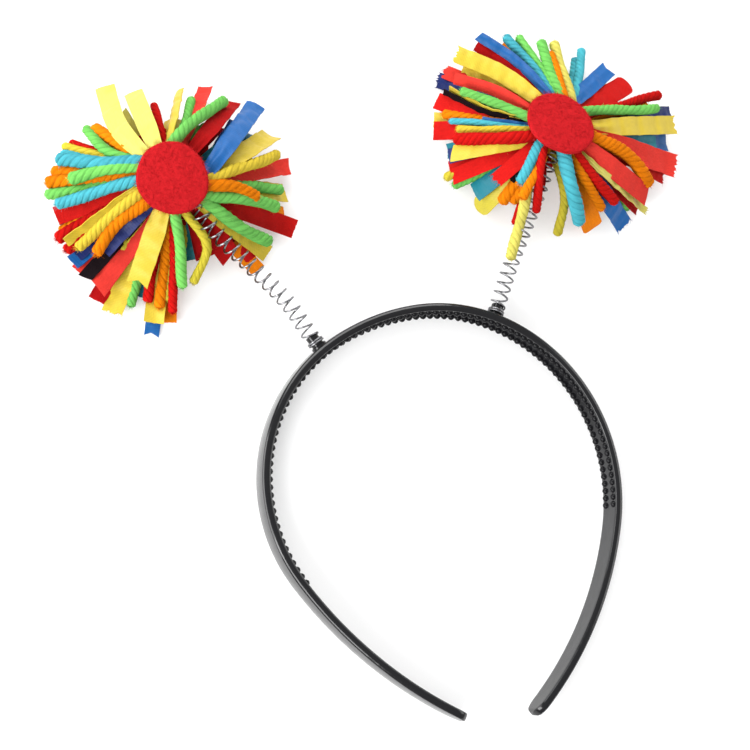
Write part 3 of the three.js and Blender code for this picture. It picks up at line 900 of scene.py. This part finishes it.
def add_fuzz(shape, strand, length, rings, radial, along, lies, tones, draw):
    """Loose fibres along a yarn, and a tuft on its cut end, coloured lighter than the yarn as painted
    light.
    """
    radius = YARN_RADIUS * strand.wide
    count = len(rings)
    hairs = int(FUZZ_PER_MM * length)
    at_end = np.arange(hairs + END_HAIRS) >= hairs
    rows = np.where(at_end, count - 1, draw.integers(0, count, len(at_end)))
    spots = draw.integers(0, YARN_AROUND, len(rows))
    lean = np.where(at_end, END_LEAN, draw.uniform(-FUZZ_LEAN, FUZZ_LEAN, len(rows)))[:, None]
    outward = radial[rows, spots]
    aside = draw.uniform(-FUZZ_SIDEWAYS, FUZZ_SIDEWAYS, len(rows))[:, None]
    sideways = np.cross(along[rows], outward) * aside
    ways = unit(FUZZ_STAND * outward + lean * along[rows] + sideways)
    inset = np.where(at_end, radius * draw.uniform(0, END_INSET, len(rows)), FUZZ_RADIUS)[:, None]
    roots = rings[rows, spots] - inset * outward
    longs = draw.uniform(*FUZZ_LONG, len(rows)) * np.where(at_end, END_LONG, 1) * strand.wide
    # Painted light: the fibres take the yarn's tone, made lighter.
    shape.add_hairs(
        roots, ways, longs, FUZZ_RADIUS, draw, lies[rows, spots], tones[rows, spots] + FUZZ_PAINTED_LIGHT)


def end_cut(cut, across, wide, draw):
    """How far the end reaches beyond its middle, across the ribbon from 1 to -1."""
    if cut == "slant":
        return draw.choice((-1, 1)) * SLANT_CUT * wide * across
    if cut == "notch":
        aside = draw.uniform(-NOTCH_ASIDE, NOTCH_ASIDE)
        return NOTCH_SLOPE * wide * np.abs(across + aside) - NOTCH_DEEP * wide
    if cut == "round":
        return ROUND_CUT * wide * (np.sqrt(1 - ROUND_BLUNT * across ** 2) - 1)
    return draw.uniform(-RAGGED[cut], RAGGED[cut], len(across))


def creases(strand, gone, spread, draw):
    """Soft crosswise waves, and one fold along the ribbon."""
    lift = draw.uniform(-FOLD, FOLD) * np.abs(spread + draw.uniform(-FOLD_ASIDE, FOLD_ASIDE))
    for wave in CREASE_WAVES:
        slant = draw.uniform(-CREASE_SLANT, CREASE_SLANT)
        size = CREASE_SIZE * wave * draw.uniform(*CREASE_RANGE)
        lift = lift + size * np.sin(ROUND * (gone + slant * spread) / wave + draw.uniform(0, ROUND))
    return lift * (1 if strand.colour in RIBBED + TWILLED else SOFT_CREASE)


def add_ribbon(shape, pompom, strand, fall, draw):
    wide = RIBBON_WIDE * strand.wide
    line = strand_line(pompom, strand, RIBBON_CLEAR, fall)
    length = line_length(line)
    rows = int(length / RIBBON_STEP)
    across = np.linspace(1, -1, RIBBON_ACROSS)
    shares = np.linspace(0, 1, rows)
    dense = smooth_line(line, ROUTE_POINTS)
    gone = shares[:, None] * (length + end_cut(strand.cut, across, wide, draw))
    along, over, side = line_frames(along_line(dense, shares * length), EYE_BACK)
    turn = (1 + ROLL_FIRST) * shares - ROLL_FIRST
    roll = np.radians(strand.roll + draw.uniform(-ROLL_SWAY, ROLL_SWAY) * turn)[:, None]
    normal = np.cos(roll) * over + np.sin(roll) * side
    width_way = np.cos(roll) * side - np.sin(roll) * over
    gather = GATHER + (1 - GATHER) * ease(shares / GATHER_RUN)
    spread = (gather * wide / 2)[:, None] * across
    pleat = PLEAT * (1 - gather)[:, None] * np.cos(PLEAT_WAVES * across)
    cup = draw.uniform(-CUP, CUP) * (1 - across ** 2)
    lift = pleat + cup + creases(strand, gone, spread, draw)
    surface = along_line(dense, gone)
    surface = surface + spread[..., None] * width_way[:, None] + lift[..., None] * normal[:, None]
    surface[..., 2] = np.maximum(surface[..., 2], LOWEST + RIBBON_THICK / 2)
    thick = RIBBON_THICK / 2 * normal[:, None]
    rings = np.concatenate((surface + thick, (surface - thick)[:, ::-1]), axis=1)
    rings[..., 2] = np.maximum(rings[..., 2], LOWEST)
    aside = np.broadcast_to(across * wide / 2, gone.shape)
    top = np.stack((gone + draw.uniform(0, SPOOL), aside), axis=-1)
    lies = np.zeros_like(rings)
    lies[..., :2] = np.concatenate((top, top[:, ::-1]), axis=1)
    tone = draw.normal(0, STRAND_SPREAD)
    shape.add_slab(rings, lies, tone)
    if strand.cut == "frayed":
        spots = draw.integers(0, RIBBON_ACROSS, FRAY_THREADS)
        ways = unit(along[-1] + draw.normal(0, FRAY_SPREAD, (FRAY_THREADS, 3)))
        longs = draw.uniform(*FRAY_LONG, FRAY_THREADS)
        roots = surface[-1, spots] - FRAY_INSET * along[-1]
        shape.add_hairs(roots, ways, longs, FRAY_RADIUS, draw, lies[-1, spots], tone)


def hidden_strands(strands, draw):
    """Shorter strands under those on top, and a core of short ones that drop to the surface."""
    for strand in strands:
        if strand.level < HIDDEN_UNDER:
            tip = strand.tip + draw.uniform(-HIDDEN_SWING, HIDDEN_SWING)
            reach = strand.reach * draw.uniform(*HIDDEN_REACH)
            level = draw.uniform(*HIDDEN_LEVELS)
            yield Strand(
                strand.kind, strand.colour, strand.leaves, tip, reach, level,
                wide=HIDDEN_WIDE, fuzzy=False)
    for bearing in range(0, 360, CORE_SPACING):
        strand = strands[draw.integers(len(strands))]
        tip = bearing + draw.uniform(-CORE_SWING, CORE_SWING)
        reach, level = draw.uniform(*CORE_REACH), draw.uniform(*CORE_LEVELS)
        yield yarn(strand.colour, bearing, tip, reach, level, fuzzy=False)


def head_strands(strands, draw):
    """Cut ends that fill the head under the disc."""
    for bearing in range(0, 360, HEAD_SPACING):
        strand = strands[draw.integers(len(strands))]
        level = draw.uniform(*HEAD_LEVELS)
        yield yarn(strand.colour, bearing, bearing, HEAD_RADIUS, level, fuzzy=False)


def make_pompom(side):
    draw = np.random.default_rng(SEEDS[side])
    pompom = POMPOMS[side]
    strands = STRANDS[side]
    hidden = tuple(hidden_strands(strands, draw))
    shapes = {}
    for strand in itertools.chain(strands, hidden, head_strands(strands, draw)):
        shape = shapes.setdefault((strand.kind, strand.colour), Shape())
        fall = fall_reach(strands, strand.tip)
        add = add_yarn if strand.kind == "yarn" else add_ribbon
        add(shape, pompom, strand, fall, draw)
    for (kind, colour), shape in shapes.items():
        name = f"pompom_{side}_{colour}_{kind}"
        if kind == "yarn":
            shape.piece(name, yarn_cloth(colour), f"pompom_{side}", "yarn_and_ribbon")
        else:
            shape.piece(name, ribbon_cloth(colour), f"pompom_{side}", "yarn_and_ribbon", CREASE)


def make_felt(side):
    draw = np.random.default_rng(SEEDS[side])
    pompom = POMPOMS[side]
    normal = facing(pompom)
    across = unit(np.cross(normal, EYE_UP))
    other = np.cross(normal, across)
    angle = circle_angles(FELT_AROUND)
    edge = pompom.disc / 2 + sum(
        draw.uniform(*FELT_WAVE_RANGE) * size * np.sin(waves * angle + draw.uniform(0, ROUND))
        for waves, size in FELT_WAVES)
    half = FELT / 2
    turns = np.radians(np.linspace(FELT_EDGE_TURN, -FELT_EDGE_TURN, FELT_EDGE_RINGS))
    profile = [(share, half) for share in np.linspace(*FELT_FLAT, FELT_RINGS)]
    profile += [(1 - FELT_ROUND * (1 - math.cos(turn)), half * math.sin(turn)) for turn in turns]
    profile += [(share, -half) for share in np.linspace(*FELT_FLAT[::-1], FELT_UNDER_RINGS)]
    way = np.cos(angle)[:, None] * across + np.sin(angle)[:, None] * other
    rings = []
    for share, height in profile:
        bumps = draw.normal(0, FELT_BUMP, FELT_AROUND) * (share if height == half else 0)
        lift = height + FELT_DOME * (1 - share ** 2) + bumps
        rings.append(np.array(pompom.centre) + (edge * share)[:, None] * way + lift[:, None] * normal)
    rings = np.array(rings)
    shape = Shape()
    shape.add_tube(rings[::-1])

    share = np.sqrt(draw.uniform(0, 1, FELT_FIBRES))
    spin = draw.integers(0, FELT_AROUND, FELT_FIBRES)
    rows = np.minimum((share * FELT_LAST_RING).astype(int), FELT_LAST_RING)
    flat = draw.normal(size=(FELT_FIBRES, 2))
    rise = draw.uniform(*FELT_FIBRE_RISE, (FELT_FIBRES, 1))
    ways = flat[:, :1] * across + flat[:, 1:] * other + rise * normal
    ways = unit(ways + (rows > FELT_RINGS)[:, None] * way[spin])
    longs = draw.uniform(*FELT_FIBRE_LONG, FELT_FIBRES)
    tones = draw.normal(*FELT_FIBRE_TONE, FELT_FIBRES)
    shape.add_hairs(rings[rows, spin], ways, longs, FELT_FIBRE_RADIUS, draw, tones=tones)
    shape.piece(f"felt_{side}", red_felt(), f"felt_disc_{side}", "red_felt")


# Materials

class Nodes:
    """A material's node tree, with short calls to add and join nodes."""

    def __init__(self, name):
        self.material = bpy.data.materials.new(name)
        self.material.use_nodes = True
        self.tree = self.material.node_tree
        self.shader = self.tree.nodes["Principled BSDF"]

    def add(self, kind, links, **settings):
        node = self.tree.nodes.new(kind)
        for key, value in settings.items():
            setattr(node, key, value)
        for socket, source in links.items():
            if isinstance(source, bpy.types.NodeSocket):
                self.tree.links.new(source, node.inputs[socket])
            else:
                node.inputs[socket].default_value = source
        return node

    def set(self, **values):
        for name, value in values.items():
            self.shader.inputs[name.replace("_", " ")].default_value = value

    def feed(self, socket, source):
        self.tree.links.new(source, self.shader.inputs[socket])

    def lie(self, scale):
        """Places on the straightened strand in millimetres, stretched by a scale."""
        lie = self.add("ShaderNodeAttribute", {}, attribute_name="lie")
        mapped = self.add("ShaderNodeMapping", {"Vector": lie.outputs["Vector"], "Scale": scale})
        return mapped.outputs["Vector"]

    def noise(self, place, scale, detail, distortion=0.0):
        node = self.add("ShaderNodeTexNoise", {
            "Vector": place, "Scale": scale, "Detail": detail, "Distortion": distortion})
        return node.outputs["Fac"]

    def spread(self, value, low, high):
        """A texture value's usual range, as a range from low to high."""
        node = self.add("ShaderNodeMapRange", {
            "Value": value, "From Min": 0.3, "From Max": 0.7, "To Min": low, "To Max": high})
        return node.outputs["Result"]

    def lit(self, colour, value):
        node = self.add("ShaderNodeHueSaturation", {"Color": colour, "Value": value})
        return node.outputs["Color"]

    def toned(self, screen):
        """A cloth colour, lighter or darker by the tone of each corner: random shifts, painted shade in
        yarn grooves and painted light on loose fibres.
        """
        tone = self.add("ShaderNodeAttribute", {}, attribute_name="tone")
        value = self.add("ShaderNodeMath", {0: tone.outputs["Fac"], 1: 1.0}, operation="ADD")
        return self.lit((*(linear(screen) * CLOTH_SHARE), 1), value.outputs["Value"])

    def bump(self, height, strength, depth):
        node = self.add("ShaderNodeBump", {
            "Height": height, "Strength": strength, "Distance": depth * MM})
        self.feed("Normal", node.outputs["Normal"])


def yarn_cloth(colour):
    nodes = Nodes(f"yarn_{colour}")
    fibres = nodes.noise(nodes.lie((0.45, 2.4, 2.4)), scale=1.5, detail=4)
    base = nodes.toned(COLOURS[colour])
    nodes.feed("Base Color", nodes.lit(base, nodes.spread(fibres, low=0.84, high=1.14)))
    nodes.set(Roughness=0.95, Specular_IOR_Level=0.06)
    nodes.bump(fibres, strength=0.7, depth=0.3)
    return nodes.material


def ribbon_cloth(colour):
    nodes = Nodes(f"ribbon_{colour}")
    base = nodes.toned(COLOURS[colour])
    threads = nodes.noise(nodes.lie((0.25, 3, 1)), scale=1.6, detail=3)
    base = nodes.lit(base, nodes.spread(threads, low=0.9, high=1.08))
    if colour in RIBBED + TWILLED:
        direction = "DIAGONAL" if colour in TWILLED else "X"
        weave = nodes.add("ShaderNodeTexWave", {
            "Vector": nodes.lie((1, 1, 0)), "Scale": TWILL if colour in TWILLED else RIBS,
            "Distortion": 0.8, "Detail": 2, "Detail Scale": 1.5}, bands_direction=direction)
        weave = weave.outputs["Fac"]
        base = nodes.lit(base, nodes.spread(weave, low=0.97, high=1.02))
        nodes.set(Roughness=0.42, Specular_IOR_Level=0.18)
        nodes.bump(weave, strength=0.18, depth=0.12)
    else:
        mat = nodes.noise(nodes.lie((1, 1, 1)), scale=1.6, detail=5, distortion=1.0)
        base = nodes.lit(base, nodes.spread(mat, low=0.9, high=1.08))
        nodes.set(Roughness=0.85, Specular_IOR_Level=0.1)
        nodes.bump(mat, strength=0.5, depth=0.25)
    nodes.feed("Base Color", base)
    return nodes.material


def red_felt():
    nodes = Nodes("felt_red")
    lie = nodes.lie((1, 1, 1))
    blots = nodes.noise(lie, scale=0.75, detail=4, distortion=0.6)
    fibres = nodes.noise(lie, scale=2.4, detail=5, distortion=2.0)
    base = nodes.lit(nodes.toned(FELT_COLOUR), nodes.spread(blots, low=0.9, high=1.06))
    nodes.feed("Base Color", nodes.lit(base, nodes.spread(fibres, low=0.92, high=1.06)))
    nodes.set(Roughness=1.0, Specular_IOR_Level=0.05)
    nodes.bump(fibres, strength=0.5, depth=0.3)
    return nodes.material


def black_plastic():
    nodes = Nodes("black_plastic")
    lie = nodes.lie((1, 1, 1))
    smears = nodes.noise(lie, scale=0.4, detail=4)
    nodes.feed("Roughness", nodes.spread(smears, low=0.1, high=0.2))
    nodes.set(Base_Color=(0.005, 0.005, 0.006, 1), IOR=1.45)
    matt = nodes.add("ShaderNodeAttribute", {}, attribute_name="tone")
    gloss = nodes.add("ShaderNodeMapRange", {
        "Value": matt.outputs["Fac"], "To Min": 0.5, "To Max": 0.02})
    nodes.feed("Specular IOR Level", gloss.outputs["Result"])
    nodes.bump(nodes.noise(lie, scale=0.12, detail=2), strength=0.25, depth=0.5)
    return nodes.material


def bright_wire():
    nodes = Nodes("bright_wire")
    smears = nodes.noise(nodes.lie((1, 1, 1)), scale=0.9, detail=3)
    nodes.feed("Roughness", nodes.spread(smears, low=0.22, high=0.38))
    nodes.set(Base_Color=(0.22, 0.22, 0.23, 1), Metallic=1.0)
    return nodes.material


def floor_white():
    nodes = Nodes("floor_white")
    nodes.set(Base_Color=(0.68, 0.68, 0.68, 1), Roughness=0.9, Specular_IOR_Level=0.1)
    nodes.set(Emission_Color=(1, 1, 1, 1), Emission_Strength=0.32)
    return nodes.material


# Stage

def make_floor():
    mesh = bpy.data.meshes.new("floor")
    corners = [(x * FLOOR_HALF, y * FLOOR_HALF, 0) for x, y in ((-1, -1), (1, -1), (1, 1), (-1, 1))]
    mesh.from_pydata(corners, [], [(0, 1, 2, 3)])
    mesh.materials.append(floor_white())
    floor = bpy.data.objects.new("floor", mesh)
    bpy.context.scene.collection.objects.link(floor)


def make_sky():
    """A white dome, brightest overhead."""
    world = bpy.data.worlds.new("studio")
    world.use_nodes = True
    nodes, links = world.node_tree.nodes, world.node_tree.links
    way = nodes.new("ShaderNodeTexCoord")
    parts = nodes.new("ShaderNodeSeparateXYZ")
    links.new(way.outputs["Generated"], parts.inputs["Vector"])
    light = nodes.new("ShaderNodeMapRange")
    light.inputs["To Min"].default_value, light.inputs["To Max"].default_value = SKY
    links.new(parts.outputs["Z"], light.inputs["Value"])
    links.new(light.outputs["Result"], nodes["Background"].inputs["Strength"])
    nodes["Background"].inputs["Color"].default_value = (1, 1, 1, 1)
    bpy.context.scene.world = world


def make_light(name, place, size, power):
    light = bpy.data.lights.new(name, "AREA")
    light.shape = "RECTANGLE"
    light.size, light.size_y = size
    light.energy = power
    lamp = bpy.data.objects.new(name, light)
    lamp.location = place
    lamp.rotation_euler = (Vector(LIGHT_TARGET) - Vector(place)).to_track_quat("-Z", "Y").to_euler()
    bpy.context.scene.collection.objects.link(lamp)


def make_camera():
    camera = bpy.data.cameras.new("camera")
    camera.lens = LENS
    camera.shift_x, camera.shift_y = LENS_SHIFT
    camera.clip_start = NEAREST * MM
    viewer = bpy.data.objects.new("camera", camera)
    axes = Matrix((EYE_RIGHT, EYE_UP, EYE_BACK)).transposed().to_4x4()
    viewer.matrix_world = Matrix.Translation(Vector(EYE * MM)) @ axes
    bpy.context.scene.collection.objects.link(viewer)
    bpy.context.scene.camera = viewer


make_floor()
make_sky()
for light_name, light_place, light_size, light_power in SOFTBOXES:
    make_light(light_name, light_place, light_size, light_power)
make_camera()
bpy.context.scene.view_settings.view_transform = "Standard"

make_band()
for each_side in SIDES:
    make_spring(each_side)
    make_pompom(each_side)
    make_felt(each_side)
